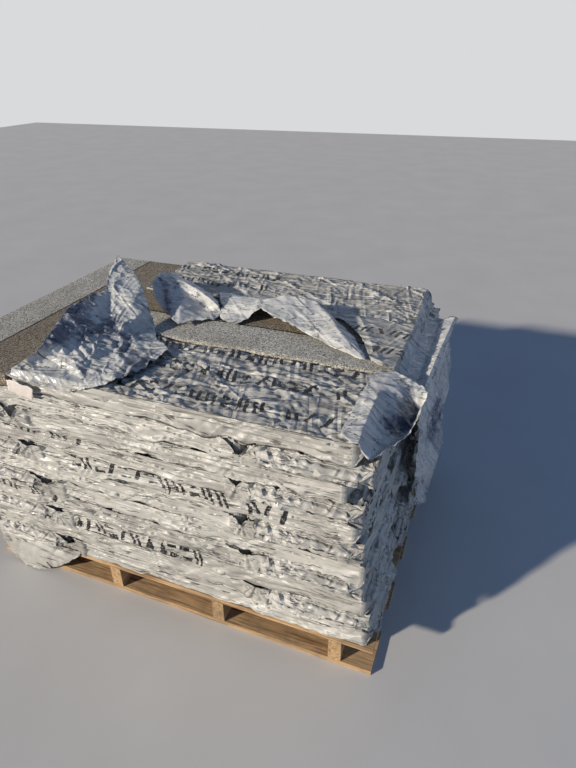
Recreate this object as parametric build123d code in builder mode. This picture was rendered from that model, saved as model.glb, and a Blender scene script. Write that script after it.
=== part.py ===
# A pallet of asphalt shingles: a stringer pallet that carries eleven cross-stacked layers of
# film-wrapped shingle bundles. The wrap of the top layer is torn open, so two bundles lie bare.
# Frame: X along the front of the load, Y away from the front, Z up, origin under the pallet.
from build123d import *
import os

os.makedirs("parts", exist_ok=True)

# Driving sizes of one bundle, in millimetres
bundle_length = 1000.0
bundle_height = 62.4
bundle_edge_radius = 14.0
bundles_in_row = 3
row_gap = 10.0
end_gap = 12.0
# How far the three bundles of a row reach past the length of the one across their end
row_overreach = 10.0
# The end of the wrap is gathered to a seam that stands out where nothing is next to it
gather_width = 290.0
gather_height = 44.0
gather_reach = 19.0
gather_slope = 45.0
shingle_thickness = 2.6
groove_height = 0.7
groove_depth = 5.0

# Driving sizes of the pallet
pallet_margin = 2.0
board_thickness = 16.0
stringer_height = 82.0
stringer_width = 38.0
stringer_count = 4
stringer_inset = 110.0
top_board_width = 100.0
top_board_count = 7
lead_board_width = 140.0
inner_board_width = 100.0
bottom_board_count = 5

# Driving sizes of the load
layer_count = 11
# Middle along X of the layers with their cross bundle at the left end, and of the others
odd_layer_middle = -79.0
even_layer_middle = -41.0
# How far each layer was set down out of line along X, from the bottom layer up
layer_shift = [60, 30, 50, 5, 40, 0, 10, -8, -20, 10, 0]
open_cross_height = 39.0
bare_drop = 2.0
film_thickness = 2.4
film_gap = 0.4
# Shallow creases of the slack film across the top of the two bundles that are still wrapped
crease_count = 8
crease_depth = 5.0
crease_lean = 0.22

# Derived sizes
load_depth = bundle_length + row_overreach
bundle_width = (load_depth - row_gap * (bundles_in_row - 1)) / bundles_in_row
row_pitch = bundle_width + row_gap
layer_length = bundle_length + end_gap + bundle_width
load_front = -load_depth / 2
pallet_length = layer_length + 2 * pallet_margin
pallet_depth = load_depth
pallet_height = 2 * board_thickness + stringer_height
stringer_span = pallet_length - 2 * stringer_inset
stringer_pitch = stringer_span / (stringer_count - 1)
top_pitch = (pallet_depth - top_board_width) / (top_board_count - 1)
bottom_span = pallet_depth - lead_board_width
bottom_pitch = bottom_span / (bottom_board_count - 1)
load_top = pallet_height + layer_count * bundle_height
# Height of a sheet's middle above the load's top, where it lies on wrap or on bare shingles
on_wrap = film_thickness / 2 + film_gap
on_bare = on_wrap - bare_drop


def export_piece(piece, name):
    """Label a finished piece and write it as its own file."""
    piece.label = name
    export_step(piece, f"parts/{name}.step")


def along_x(start, row, middle):
    """Plane of a section that is extruded along +X: its x axis is Y and its y axis is Z."""
    return Plane(origin=(start, row, middle), x_dir=(0, 1, 0), z_dir=(1, 0, 0))


def along_y(start, column, middle):
    """Plane of a section that is extruded along +Y."""
    return Plane(origin=(column, start, middle), x_dir=(-1, 0, 0), z_dir=(0, 1, 0))


# Pallet: stringers run from front to back
for number in range(stringer_count):
    place = -stringer_span / 2 + number * stringer_pitch
    middle = board_thickness + stringer_height / 2
    with BuildPart() as stringer:
        with BuildSketch(along_y(-pallet_depth / 2, place, middle)):
            Rectangle(stringer_width, stringer_height)
        extrude(amount=pallet_depth)
        chamfer(stringer.edges().filter_by(Axis.Y), length=1.5)
    export_piece(stringer.part, f"stringer_{number + 1}")

# Pallet: seven top boards lie across the stringers
for number in range(top_board_count):
    place = -(pallet_depth - top_board_width) / 2 + number * top_pitch
    middle = board_thickness * 1.5 + stringer_height
    with BuildPart() as top_board:
        with BuildSketch(along_x(-pallet_length / 2, place, middle)):
            Rectangle(top_board_width, board_thickness)
        extrude(amount=pallet_length)
        chamfer(top_board.edges().filter_by(Axis.X), length=1.0)
    export_piece(top_board.part, f"top_board_{number + 1}")

# Pallet: five bottom boards, of which the two outer ones are the wide lead boards
for number in range(bottom_board_count):
    place = -bottom_span / 2 + number * bottom_pitch
    outer = number in (0, bottom_board_count - 1)
    width = lead_board_width if outer else inner_board_width
    with BuildPart() as bottom_board:
        with BuildSketch(along_x(-pallet_length / 2, place, board_thickness / 2)):
            Rectangle(width, board_thickness)
        extrude(amount=pallet_length)
        chamfer(bottom_board.edges().filter_by(Axis.X), length=1.0)
    export_piece(bottom_board.part, f"bottom_board_{number + 1}")

# The gathered end of a bundle's wrap, which narrows to its seam on all four sides
outward = (Align.CENTER, Align.MIN)
with BuildPart() as gather:
    with BuildSketch(Plane.XZ):
        Trapezoid(gather_width, gather_reach, gather_slope, align=outward)
    extrude(amount=gather_height / 2, both=True)
    with BuildSketch(Plane.YZ):
        Trapezoid(gather_height, gather_reach, gather_slope, align=outward)
    extrude(amount=gather_width / 2, both=True, mode=Mode.INTERSECT)

# Load: every full layer has three bundles along X and one across them at the left or right end
for number in range(1, layer_count):
    middle = pallet_height + (number - 0.5) * bundle_height
    cross_at_left = number % 2 == 1
    layer_middle = odd_layer_middle if cross_at_left else even_layer_middle
    layer_start = layer_middle + layer_shift[number - 1] - layer_length / 2
    if cross_at_left:
        cross_place = layer_start + bundle_width / 2
        row_start = layer_start + bundle_width + end_gap
    else:
        cross_place = layer_start + layer_length - bundle_width / 2
        row_start = layer_start
    row_end = row_start + bundle_length
    row_side = along_x(row_end, 0, middle) if cross_at_left else -along_x(row_start, 0, middle)
    cross_front = -along_y(-bundle_length / 2, cross_place, middle)
    cross_back = along_y(bundle_length / 2, cross_place, middle)
    with BuildPart() as layer:
        with BuildSketch(along_x(row_start, 0, middle)):
            with GridLocations(row_pitch, 0, bundles_in_row, 1):
                RectangleRounded(bundle_width, bundle_height, bundle_edge_radius)
        extrude(amount=bundle_length)
        with BuildSketch(along_y(-bundle_length / 2, cross_place, middle)):
            RectangleRounded(bundle_width, bundle_height, bundle_edge_radius)
        extrude(amount=bundle_length)
        # The gathered ends of the wrap, where no other bundle is next to them
        for side, count in ((row_side, bundles_in_row), (cross_front, 1), (cross_back, 1)):
            with Locations(side):
                with GridLocations(row_pitch, 0, count, 1):
                    add(gather.part)
    export_piece(layer.part, f"layer_{number:02d}")

# Top layer: the front and back bundles are still wrapped
top_middle = load_top - bundle_height / 2
top_layer_start = odd_layer_middle - layer_length / 2
top_row_start = top_layer_start + bundle_width + end_gap
with BuildPart() as top_wrapped:
    with BuildSketch(along_x(top_row_start, 0, top_middle)):
        with Locations((-row_pitch, 0), (row_pitch, 0)):
            RectangleRounded(bundle_width, bundle_height, bundle_edge_radius)
    extrude(amount=bundle_length)
    crease_pitch = bundle_length / crease_count
    for number in range(crease_count):
        place = top_row_start + (number + 0.5) * crease_pitch
        lean = crease_lean if number % 2 else -crease_lean
        left_lip = (-crease_pitch, crease_depth)
        right_lip = (crease_pitch, crease_depth)
        with BuildSketch(Plane(origin=(place, 0, load_top), x_dir=(1, 0, 0), z_dir=(0, -1, 0))):
            with BuildLine():
                Polyline(left_lip, (0, -crease_depth), right_lip, close=True)
            make_face()
        extrude(amount=load_depth, dir=(lean, 1, 0), both=True, mode=Mode.SUBTRACT)
export_piece(top_wrapped.part, "layer_11_wrapped")


def open_stack(plane, height):
    """A bare stack of shingles, whose long sides show the joints between the sheets."""
    sheets = int(height / shingle_thickness)
    with BuildPart() as stack:
        with BuildSketch(plane):
            Rectangle(bundle_width - 4, height)
            with GridLocations(bundle_width - 4, shingle_thickness, 2, sheets - 1):
                Rectangle(2 * groove_depth, groove_height, mode=Mode.SUBTRACT)
        extrude(amount=bundle_length)
    return stack.part


# Top layer: the middle bundle and the one across the left end lie bare
layer_floor = load_top - bundle_height
open_middle_plane = along_x(top_row_start, 0, top_middle - bare_drop / 2)
open_middle = open_stack(open_middle_plane, bundle_height - bare_drop)
export_piece(open_middle, "open_bundle_middle")
cross_place = top_layer_start + bundle_width / 2
open_left_plane = along_y(-bundle_length / 2, cross_place, layer_floor + open_cross_height / 2)
open_left = open_stack(open_left_plane, open_cross_height)
export_piece(open_left, "open_bundle_left")


def torn_film(name, points, panels):
    """A torn sheet of wrap, as flat panels that meet at its folds.

    A point is its place along the top row in bundle lengths, its place from the front of the
    load in row pitches, what its sheet lies on, and its rise above that in bundle heights.
    """
    places = {}
    for key, (along, across, rest, rise) in points.items():
        x = top_row_start + along * bundle_length
        y = load_front + across * row_pitch
        places[key] = Vector(x, y, load_top + rest + rise * bundle_height)
    with BuildPart() as film:
        for corners in panels:
            first, second, third = [places[key] for key in corners]
            across = (second - first).cross(third - first)
            with BuildSketch(Plane(origin=first, x_dir=second - first, z_dir=across)) as panel:
                plane = panel.workplanes[0]
                flat = [plane.to_local_coords(point) for point in (first, second, third)]
                with BuildLine():
                    Polyline(*flat, close=True)
                make_face()
            extrude(amount=film_thickness / 2, both=True)
    export_piece(film.part, name)


# Torn wrap: the crumpled sheet that stands up over the left end of the front bundle
torn_film(
    "torn_film_left",
    {
        "front_left": (0.003, 0.05, on_wrap, 0),
        "front_right": (0.290, 0.055, on_wrap, 0),
        "right_low": (0.346, 0.19, on_wrap, 0),
        "right": (0.370, 0.44, on_wrap, 0.02),
        "tip": (0.370, 0.73, on_wrap, 0.06),
        "foot": (0.235, 1.13, on_wrap, 0),
        "ridge_end": (0.134, 1.42, on_wrap, 1.35),
        "peak": (-0.005, 1.64, on_wrap, 2.51),
        "left_high": (0.079, 1.08, on_wrap, 1.58),
        "left": (0.055, 0.69, on_wrap, 1.59),
        "left_low": (0.096, 0.17, on_wrap, 0.97),
        "fold_low": (0.143, 0.27, on_wrap, 0.34),
        "fold": (0.150, 0.49, on_wrap, 0.66),
        "fold_high": (0.142, 0.835, on_wrap, 0.79),
        "ridge": (0.187, 1.04, on_wrap, 1.32),
        "shoulder": (0.099, 1.23, on_wrap, 1.72),
        "slope": (0.201, 0.70, on_wrap, 0.42),
    },
    [
        ("front_left", "front_right", "fold_low"),
        ("front_left", "fold_low", "left_low"),
        ("left_low", "fold_low", "fold"),
        ("left_low", "fold", "left"),
        ("left", "fold", "fold_high"),
        ("left", "fold_high", "left_high"),
        ("left_high", "fold_high", "ridge"),
        ("left_high", "ridge", "shoulder"),
        ("left_high", "shoulder", "peak"),
        ("peak", "shoulder", "ridge_end"),
        ("shoulder", "ridge", "ridge_end"),
        ("ridge", "foot", "ridge_end"),
        ("fold_high", "slope", "ridge"),
        ("ridge", "slope", "foot"),
        ("slope", "tip", "foot"),
        ("fold", "slope", "fold_high"),
        ("fold_low", "slope", "fold"),
        ("slope", "right", "tip"),
        ("fold_low", "right", "slope"),
        ("fold_low", "right_low", "right"),
        ("fold_low", "front_right", "right_low"),
    ],
)

# Torn wrap: the sheet that leans over the back half of the bare middle bundle
torn_film(
    "torn_film_middle",
    {
        "back_left": (0.028, 2.06, on_wrap, 0),
        "left": (0.141, 1.535, on_bare, 1.35),
        "low_left": (0.193, 1.41, on_bare, 0.30),
        "low_middle": (0.300, 1.17, on_bare, 0),
        "low_right": (0.390, 1.44, on_bare, 0),
        "top_left": (0.120, 1.835, on_wrap, 1.34),
        "top_middle": (0.290, 1.66, on_wrap, 1.03),
        "top_right": (0.360, 1.60, on_wrap, 0.62),
    },
    [
        ("back_left", "left", "top_left"),
        ("left", "low_left", "top_left"),
        ("top_left", "low_left", "top_middle"),
        ("low_left", "low_middle", "top_middle"),
        ("low_middle", "low_right", "top_middle"),
        ("low_right", "top_right", "top_middle"),
    ],
)

# Torn wrap: the arch that stays over the back of the tear, with its folded strip
torn_film(
    "torn_film_arch",
    {
        "back_left": (0.248, 2.235, on_wrap, 0),
        "left": (0.388, 1.706, on_bare, 0.29),
        "tip": (0.473, 1.38, on_bare, 0),
        "peak": (0.578, 1.78, on_wrap, 1.13),
        "strip_low": (0.598, 1.5, on_bare, 0.45),
        "strip_top": (0.694, 1.84, on_wrap, 0.94),
        "knot": (0.963, 1.07, on_bare, 0),
        "back_middle": (0.578, 2.147, on_wrap, 0),
        "back_right": (0.808, 2.06, on_wrap, 0),
    },
    [
        ("back_left", "left", "peak"),
        ("left", "tip", "peak"),
        ("back_left", "peak", "back_middle"),
        ("peak", "strip_top", "back_middle"),
        ("peak", "strip_low", "strip_top"),
        ("strip_low", "knot", "strip_top"),
        ("strip_top", "knot", "back_right"),
        ("strip_top", "back_right", "back_middle"),
    ],
)

# Torn wrap: the loose end of the front bundle's wrap, which stands out past its right end
torn_film(
    "torn_film_right",
    {
        "back": (0.973, 0.9, on_wrap, 0),
        "front": (0.973, 0.075, on_wrap, 0),
        "back_edge": (1.005, 0.9, on_wrap, 0),
        "front_edge": (1.005, 0.075, on_wrap, 0),
        "out_back": (1.098, 0.84, on_wrap, -0.12),
        "out_front": (1.103, 0.31, on_wrap, -0.5),
        "low": (1.033, 0.075, on_wrap, -0.74),
    },
    [
        ("back", "front", "front_edge"),
        ("back", "front_edge", "back_edge"),
        ("back_edge", "front_edge", "out_back"),
        ("front_edge", "out_front", "out_back"),
        ("front_edge", "low", "out_front"),
    ],
)
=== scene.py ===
import math
from functools import partial

import bpy
import numpy as np
from mathutils import Matrix, Vector


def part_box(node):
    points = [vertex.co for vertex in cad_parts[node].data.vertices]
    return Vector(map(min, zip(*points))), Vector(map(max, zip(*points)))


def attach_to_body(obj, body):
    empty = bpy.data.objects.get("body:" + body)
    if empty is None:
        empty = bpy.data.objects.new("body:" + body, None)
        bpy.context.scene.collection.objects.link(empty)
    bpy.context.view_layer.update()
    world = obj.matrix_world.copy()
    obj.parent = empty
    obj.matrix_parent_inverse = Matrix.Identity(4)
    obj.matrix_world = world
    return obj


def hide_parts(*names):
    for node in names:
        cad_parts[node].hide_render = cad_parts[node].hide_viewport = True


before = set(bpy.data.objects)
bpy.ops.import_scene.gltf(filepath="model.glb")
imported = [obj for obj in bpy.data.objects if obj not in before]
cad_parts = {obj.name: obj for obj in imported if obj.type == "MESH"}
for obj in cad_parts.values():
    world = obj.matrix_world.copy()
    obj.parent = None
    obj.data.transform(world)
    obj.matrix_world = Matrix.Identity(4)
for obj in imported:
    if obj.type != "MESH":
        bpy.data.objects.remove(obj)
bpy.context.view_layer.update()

# The camera, solved from the corners of the pallet and of the load in the photograph
PICTURE_WIDTH = 576
FOCAL_PIXELS = 555.6
CAMERA_PLACE = (0.809, -1.470, 1.534)
CAMERA_YAW = 0.3751
CAMERA_PITCH = 0.5331
CAMERA_ROLL = -0.0116

# Sizes of the load, in metres
BUNDLE_LENGTH = 1.000
BUNDLE_WIDTH = 0.330
END_GAP = 0.012
FULL_LAYERS = 10
SLEEVE_RADIUS = 0.008
ROW_OVERREACH = 0.010
GATHER_REACH = 0.019
GATHER_INSET = 0.039
END_REACH = 0.016
END_ROUNDING = 0.010
CREASE_COUNT = 8
CREASE_DEPTH = 0.005
CREASE_LEAN = 0.22
# Distance between the rows of vertices on a bundle, finer where more of it shows
FRONT_STEP = 0.0055
RIGHT_STEP = 0.0065
LEFT_STEP = 0.009
BACK_STEP = 0.011
# Places of the UV maps that stay clear of the rows of print
UNPRINTED = 9.0
HIDDEN_PRINT_SHARE = 0.35
# How far the middle of the film's folds lies inside the solid's faces
SIDE_SINK = 0.0050
TOP_SINK = 0.0035
# The slack film's hang below the lower edge of a side, and its reach out of it
SLACK_DROP = 0.016
SLACK_REACH = 0.0070
# The furthest that a gathered end stands out, where it shows and where it doesn't
SHOWN_END_LIMIT = 0.036
HIDDEN_END_LIMIT = 0.004
# Share of a bundle's height at which a joint's flap ends, and that it hangs below the bundle
FLAP_TOP = 0.97
FLAP_DROP = 0.10
# Share of its pitch that a loose shingle fills, and its slip in the pile
SHEET_SHARE = 0.84
SHEET_SLIP = 0.0018
FILM_THICKNESS = 0.0006
# Lowest place of the loose film above the top of the load, over wrap and over bare shingles
FLOOR_OVER_WRAP = 0.0012
FLOOR_OVER_BARE = -0.0006
SOFT_CREASE = 0.85
RIM_RAGGEDNESS = 0.0045

random = np.random.default_rng(11)


# Repeatable noise


def lattice_hash(x, y, z, seed):
    """A whole number for each cell of a lattice."""
    value = x * np.uint32(73856093) ^ y * np.uint32(19349663) ^ z * np.uint32(83492791)
    value = value ^ np.uint32((seed * 2654435761) & 0xFFFFFFFF)
    value = (value ^ (value >> np.uint32(13))) * np.uint32(1274126177)
    return value ^ (value >> np.uint32(16))


def noise(points, scale, seed):
    """Smooth gradient noise of about -1 to 1 at each point, with one feature per scale."""
    place = points / np.asarray(scale, dtype=float) + 1000.0
    cell = np.floor(place)
    part = place - cell
    cell = cell.astype(np.uint32)
    fade = part * part * part * (part * (part * 6 - 15) + 10)
    total = np.zeros(len(points))
    for corner in range(8):
        step = (corner & 1, corner >> 1 & 1, corner >> 2 & 1)
        number = lattice_hash(*(cell[:, k] + np.uint32(step[k]) for k in range(3)), seed)
        weight = np.ones(len(points))
        reach = np.zeros(len(points))
        for k in range(3):
            gradient = ((number >> np.uint32(10 * k)) & np.uint32(1023)) / 511.5 - 1
            reach += gradient * (part[:, k] - step[k])
            weight *= fade[:, k] if step[k] else 1 - fade[:, k]
        total += weight * reach
    return total * 1.4


def zigzag(phase):
    """A triangle wave from -1 to 1, with its low points at the whole numbers."""
    return 4 * np.abs(phase - np.floor(phase + 0.5)) - 1


def folds(points, scale, seed, count=2.5):
    """Flat facets that meet in sharp folds, from -1 to 1: a triangle wave of smooth noise."""
    return zigzag(noise(points, scale, seed) * count / 2)


def pleats(points, direction, spacing, seed, wander, reach):
    """Long sharp folds across a direction, from -1 to 1, that drift, merge and fade out."""
    direction = np.asarray(direction, dtype=float)
    direction = direction / np.linalg.norm(direction)
    along = points @ direction
    shape = np.full(3, reach) - np.abs(direction) * reach * 0.6
    wave = zigzag(along / spacing + noise(points, shape, seed) * wander)
    return wave * smooth(-0.45, 0.35, noise(points, shape * 0.7, seed + 500))


def ridges(points, scale, seed, sharp=2.0):
    """Narrow raised lines between flat fields, from 0 to 1."""
    return np.clip(1 - np.abs(noise(points, scale, seed)) * 2.2, 0, 1) ** sharp


def smooth(low, high, value):
    """0 below low, 1 above high, and a smooth step between."""
    part = np.clip((value - low) / (high - low), 0, 1)
    return part * part * (3 - 2 * part)


# Mesh helpers


def grid_faces(rows, columns, closed=False):
    """Faces of a grid of vertices that is stored row by row."""
    across = columns if closed else columns - 1
    row, column = np.meshgrid(np.arange(rows - 1), np.arange(across), indexing="ij")
    following = (column + 1) % columns
    corners = [
        row * columns + column,
        row * columns + following,
        (row + 1) * columns + following,
        (row + 1) * columns + column,
    ]
    return np.stack(corners, axis=-1).reshape(-1, 4)


def joined(*columns):
    """These columns side by side; a single number fills its column."""
    return np.stack(np.broadcast_arrays(*columns), axis=1)


def crossings(first, second):
    """Both coordinates of every crossing of a grid, row by row."""
    return [part.ravel() for part in np.meshgrid(first, second, indexing="ij")]


def read_values(items, field, width=1, kind=np.float32):
    """A field of these vertices, loops or attribute values, as an array."""
    values = np.empty(len(items) * width, dtype=kind)
    items.foreach_get(field, values)
    return values.reshape(-1, width) if width > 1 else values


def put_in_scene(name, data):
    """A new object of the scene for this mesh, lamp or camera."""
    thing = bpy.data.objects.new(name, data)
    bpy.context.scene.collection.objects.link(thing)
    return thing


def dress(mesh, uvs, tint, material):
    """Give a mesh a UV place for each face corner, a tint for each vertex, and its material."""
    layer = mesh.uv_layers.new(name="wrap")
    layer.data.foreach_set("uv", uvs.astype(np.float32).ravel())
    attribute = mesh.attributes.new("tint", "FLOAT", "POINT")
    attribute.data.foreach_set("value", tint.astype(np.float32))
    mesh.polygons.foreach_set("use_smooth", np.ones(len(mesh.polygons), dtype=bool))
    mesh.materials.clear()
    mesh.materials.append(material)


def make_piece(name, parts, material):
    """One mesh object from (vertices, faces, uvs, tint) parts, with a UV map and a tint."""
    count = 0
    faces = []
    for points, quads, _, _ in parts:
        faces.append(quads + count)
        count += len(points)
    vertices = np.concatenate([part[0] for part in parts])
    faces = np.concatenate(faces)
    uvs = np.concatenate([part[2] for part in parts])
    tint = np.concatenate([np.full(len(part[0]), part[3]) for part in parts])
    mesh = bpy.data.meshes.new(name)
    mesh.vertices.add(len(vertices))
    mesh.vertices.foreach_set("co", vertices.astype(np.float32).ravel())
    mesh.loops.add(faces.size)
    mesh.loops.foreach_set("vertex_index", faces.astype(np.int32).ravel())
    mesh.polygons.add(len(faces))
    mesh.polygons.foreach_set("loop_start", np.arange(0, faces.size, 4, dtype=np.int32))
    dress(mesh, uvs[faces.ravel()], tint, material)
    mesh.update(calc_edges=True)
    mesh.validate()
    return put_in_scene(name, mesh)


def attach(piece, node=None):
    """The piece rides the part, and takes the place of the node."""
    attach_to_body(piece, "root")
    if node:
        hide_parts(node)


def evaluated_mesh(carrier, name):
    """The carrier's mesh with its modifiers applied; the carrier itself is removed."""
    graph = bpy.context.evaluated_depsgraph_get()
    mesh = bpy.data.meshes.new_from_object(carrier.evaluated_get(graph))
    mesh.name = name
    bpy.data.objects.remove(carrier)
    return mesh


# Material helpers


def linear(hex_colour):
    """Linear RGBA of an sRGB hex colour."""
    values = [int(hex_colour[k : k + 2], 16) / 255 for k in (0, 2, 4)]
    flat = [v / 12.92 if v <= 0.04045 else ((v + 0.055) / 1.055) ** 2.4 for v in values]
    return (*flat, 1.0)


def every(millimetres):
    """Texture scale whose features come once in this many millimetres."""
    return 1000.0 / millimetres


def add(tree, kind, inputs=(), output=0, stops=None, **settings):
    """Add a node with its settings, and give its inputs a value or a link each.

    A kind may end in its operation, as Math.ADD does.
    """
    kind, _, operation = kind.partition(".")
    node = tree.nodes.new(kind if "Node" in kind else "ShaderNode" + kind)
    if operation:
        node.operation = operation
    for name, value in settings.items():
        setattr(node, name, value)
    if stops:
        elements = node.color_ramp.elements
        while len(elements) < len(stops):
            elements.new(0.5)
        for element, (position, colour) in zip(elements, stops):
            element.position = position
            element.color = linear(colour)
    pairs = inputs.items() if isinstance(inputs, dict) else enumerate(inputs)
    for key, value in pairs:
        if isinstance(value, bpy.types.NodeSocket):
            tree.links.new(value, node.inputs[key])
        else:
            node.inputs[key].default_value = value
    return node.outputs[output]


def new_material(name):
    """An empty node material and its tree."""
    material = bpy.data.materials.new(name)
    material.use_nodes = True
    material.node_tree.nodes.clear()
    return material, material.node_tree


def close_material(tree, **inputs):
    """End the tree in a Principled shader with these inputs."""
    named = {name.replace("_", " "): value for name, value in inputs.items()}
    end = tree.nodes.new("ShaderNodeOutputMaterial")
    tree.links.new(add(tree, "BsdfPrincipled", named), end.inputs["Surface"])


def patchy(tree, vector, size, low, high, most=1.0, least=0.0, **texture):
    """Noise with features of this size in millimetres: least below low, and most above high."""
    texture = {name.title(): value for name, value in texture.items()}
    cloud = add(tree, "TexNoise", {"Vector": vector, "Scale": every(size), **texture})
    reach = {"Value": cloud, "From Min": low, "From Max": high, "To Min": least, "To Max": most}
    return add(tree, "MapRange", reach)


def coated(tree, colour, coats):
    """The colour with each (share, hex colour) laid over it in turn."""
    for share, coat in coats:
        layers = {0: share, 6: colour, 7: linear(coat)}
        colour = add(tree, "Mix", layers, output=2, data_type="RGBA")
    return colour


# Materials

PRINT_ROW_PITCH = 0.120
PRINT_HEIGHT = 0.044
PRINT_LENGTH = 0.68
PRINT_CELL = 0.044


def print_mask(tree, uv):
    """Rows of plain solid shapes where the real wrap has printing: bars, wedges and dashes.

    The rows are 44 mm high and 120 mm apart, and the film's creases break them up.
    """
    node = partial(add, tree)
    drift = node("TexNoise", {"Vector": uv, "Scale": every(34), "Detail": 3.0}, output=1)
    drift = node("VectorMath.SUBTRACT", [drift, (0.5, 0.5, 0.5)])
    drift = node("VectorMath.MULTIPLY", [drift, (0.010, 0.026, 0)])
    place = node("VectorMath.ADD", [uv, drift])
    u = node("SeparateXYZ", [place], output=0)
    v = node("SeparateXYZ", [place], output=1)
    row = node("Math.FLOOR", [node("Math.DIVIDE", [v, PRINT_ROW_PITCH])])
    high = node("Math.FLOORED_MODULO", [v, PRINT_ROW_PITCH])
    high = node("Math.DIVIDE", [high, PRINT_HEIGHT])
    rise = node("Math.SUBTRACT", [high, 0.5])
    far_rise = node("Math.ABSOLUTE", [rise])
    across = node("Math.DIVIDE", [u, PRINT_CELL])
    across = node("Math.MULTIPLY_ADD", [rise, -0.30, across])
    cell = node("Math.FLOOR", [across])
    wide = node("Math.SUBTRACT", [across, cell])
    lot = node("CombineXYZ", [cell, row, 1.0])
    chance = node("TexWhiteNoise", {"Vector": lot}, output="Color")
    first = node("SeparateXYZ", [chance], output=0)
    second = node("SeparateXYZ", [chance], output=1)
    side = node("Math.SUBTRACT", [wide, 0.46])
    far_side = node("Math.ABSOLUTE", [side])
    narrow = node("Math.LESS_THAN", [far_side, 0.36])
    left_bar = node("Math.COMPARE", [side, -0.24, 0.12])
    right_bar = node("Math.COMPARE", [side, 0.20, 0.12])
    bars = node("Math.MAXIMUM", [left_bar, right_bar])
    slope = node("Math.MULTIPLY_ADD", [rise, 0.66, side])
    slash = node("Math.COMPARE", [slope, 0.0, 0.16])
    wedge = node("Math.GREATER_THAN", [slope, 0.02])
    wedge = node("Math.MULTIPLY", [wedge, narrow])
    dashes = node("Math.COMPARE", [far_rise, 0.33, 0.13])
    dashes = node("Math.MULTIPLY", [dashes, narrow])
    mask = bars
    for limit, shape in ((0.30, slash), (0.55, dashes), (0.80, wedge)):
        pick = node("Math.GREATER_THAN", [first, limit])
        mask = node("Mix", {0: pick, 2: mask, 3: shape}, output=0, data_type="FLOAT")
    pick = node("Math.LESS_THAN", [second, 0.93])
    mask = node("Math.MULTIPLY", [mask, pick])
    inside = node("Math.COMPARE", [high, 0.5, 0.5])
    length = node("Math.COMPARE", [u, 0.0, PRINT_LENGTH / 2])
    inside = node("Math.MULTIPLY", [inside, length])
    worn = patchy(tree, uv, 9, 0.32, 0.42, detail=3.0, roughness=0.65)
    mask = node("Math.MULTIPLY", [mask, inside])
    return node("Math.MULTIPLY", [mask, worn])


def creases(tree, uv, turn, spacing, reach, depth):
    """Height in metres of straight sharp folds in one direction, which fade in and out.

    turn is in degrees, spacing and depth in millimetres, and reach says how much longer than
    wide the folds are.
    """
    node = partial(add, tree)
    turned = {"Vector": uv, "Angle": math.radians(turn)}
    turned = node("VectorRotate", turned, rotation_type="Z_AXIS")
    down = node("SeparateXYZ", [turned], output=1)
    along = node("VectorMath.MULTIPLY", [turned, (1 / reach, 1.0, 1.0)])
    drift = node("TexNoise", {"Vector": along, "Scale": every(spacing * 4.5), "Detail": 2.0})
    phase = node("Math.MULTIPLY", [down, every(spacing)])
    phase = node("Math.MULTIPLY_ADD", [drift, 7.0, phase])
    wave = node("Math.PINGPONG", [phase, 1.0])
    fade = patchy(tree, along, spacing * 3.1, 0.46, 0.62, depth / 1000, detail=1.0)
    return node("Math.MULTIPLY", [wave, fade])


# Folds of the film, in rows of (turn, spacing, reach, depth): on sides, on tops and on sheets
SIDE_CREASES = ((2, 19, 26, 4.6), (-4, 11, 24, 2.2), (8, 31, 16, 7.0), (33, 27, 9, 3.6), (-38, 21, 9, 2.6))
TOP_CREASES = ((5, 19, 9, 6.6), (-35, 24, 6, 8.0), (62, 28, 6, 8.0), (28, 14, 6, 4.6), (-75, 15, 6, 4.2))
SHEET_CREASES = ((20, 30, 6, 4.0), (-50, 22, 5, 3.4), (75, 26, 5, 3.4), (-15, 12, 7, 2.2), (48, 14, 6, 2.2))


def crease_height(tree, uv, rows):
    """The folds of all these rows of (turn, spacing, reach, depth) added up."""
    total = None
    for turn, spacing, reach, depth in rows:
        height = creases(tree, uv, turn, spacing, reach, depth)
        total = height if total is None else add(tree, "Math.ADD", [total, height])
    return total


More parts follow.
